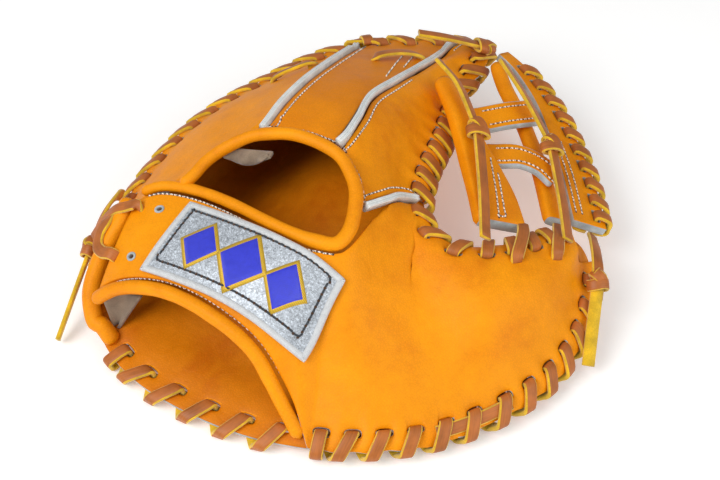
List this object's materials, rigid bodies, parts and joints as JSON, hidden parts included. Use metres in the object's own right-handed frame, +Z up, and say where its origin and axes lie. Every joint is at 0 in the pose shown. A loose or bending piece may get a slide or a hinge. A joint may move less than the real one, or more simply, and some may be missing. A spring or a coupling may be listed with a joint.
{
  "type": "baseball training glove",
  "caption": "Round padded leather training mitt for the left hand, lying palm down: laced back panels over a thick palm, open wrist, strap with a patch, and a two-post web.",
  "frame": {"origin": "centre of the bounding box of everything but the free lace ends, at the floor that the palm rests on", "axes": "+Y from the wrist towards the fingertips, +X towards the thumb, +Z up from the palm to the back"},
  "size_m": [0.2469, 0.276, 0.0893],
  "materials": {
    "back_index_finger": "orange-tan full-grain leather, semi-gloss",
    "back_little_finger": "orange-tan full-grain leather, semi-gloss",
    "back_middle_fingers": "orange-tan full-grain leather, semi-gloss",
    "back_thumb_and_strap": "orange-tan full-grain leather, semi-gloss",
    "binding_hand_opening": "orange-tan full-grain leather, semi-gloss",
    "binding_heel": "orange-tan full-grain leather, semi-gloss",
    "binding_wrist": "orange-tan full-grain leather, semi-gloss",
    "knot_heel": "brown flat rawhide lace with yellow cut edges",
    "knot_thumb_tip": "brown flat rawhide lace with yellow cut edges",
    "knot_top": "brown flat rawhide lace with yellow cut edges",
    "knot_web_left": "brown flat rawhide lace with yellow cut edges",
    "knot_web_right": "brown flat rawhide lace with yellow cut edges",
    "lace_crotch": "brown flat rawhide lace with yellow cut edges",
    "lace_fingers": "brown flat rawhide lace with yellow cut edges",
    "lace_heel": "brown flat rawhide lace with yellow cut edges",
    "lace_thumb": "brown flat rawhide lace with yellow cut edges",
    "lace_web_rim": "brown flat rawhide lace with yellow cut edges",
    "palm_pad": "orange-tan full-grain leather, semi-gloss",
    "patch": "silver glitter cloth with a satin border",
    "tail_heel": "brown flat rawhide lace with yellow cut edges",
    "tail_thumb": "brown flat rawhide lace with yellow cut edges",
    "tail_top": "brown flat rawhide lace with yellow cut edges",
    "tail_web_left_down": "brown flat rawhide lace with yellow cut edges",
    "tail_web_left_up": "brown flat rawhide lace with yellow cut edges",
    "tail_web_right_down": "brown flat rawhide lace with yellow cut edges",
    "tail_web_right_up": "brown flat rawhide lace with yellow cut edges",
    "web_bar_lower": "orange-tan full-grain leather, semi-gloss",
    "web_bar_upper": "orange-tan full-grain leather, semi-gloss",
    "web_post_left": "orange-tan full-grain leather, semi-gloss",
    "web_post_right": "orange-tan full-grain leather, semi-gloss",
    "web_rim": "orange-tan full-grain leather, semi-gloss",
    "welt_1": "silver-grey woven piping",
    "welt_2": "silver-grey woven piping",
    "welt_3": "silver-grey woven piping"
  },
  "bodies": {
    "root": {"back_index_finger": "back_index_finger", "back_little_finger": "back_little_finger", "back_middle_fingers": "back_middle_fingers", "back_thumb_and_strap": "back_thumb_and_strap", "binding_hand_opening": "binding_hand_opening", "binding_heel": "binding_heel", "binding_wrist": "binding_wrist", "knot_heel": "knot_heel", "knot_thumb_tip": "knot_thumb_tip", "knot_top": "knot_top", "knot_web_left": "knot_web_left", "knot_web_right": "knot_web_right", "lace_crotch": "lace_crotch", "lace_fingers": "lace_fingers", "lace_heel": "lace_heel", "lace_thumb": "lace_thumb", "lace_web_rim": "lace_web_rim", "palm_pad": "palm_pad", "patch": "patch", "tail_heel": "tail_heel", "tail_thumb": "tail_thumb", "tail_top": "tail_top", "tail_web_left_down": "tail_web_left_down", "tail_web_left_up": "tail_web_left_up", "tail_web_right_down": "tail_web_right_down", "tail_web_right_up": "tail_web_right_up", "web_bar_lower": "web_bar_lower", "web_bar_upper": "web_bar_upper", "web_post_left": "web_post_left", "web_post_right": "web_post_right", "web_rim": "web_rim", "welt_1": "welt_1", "welt_2": "welt_2", "welt_3": "welt_3"}
  },
  "joints": []
}
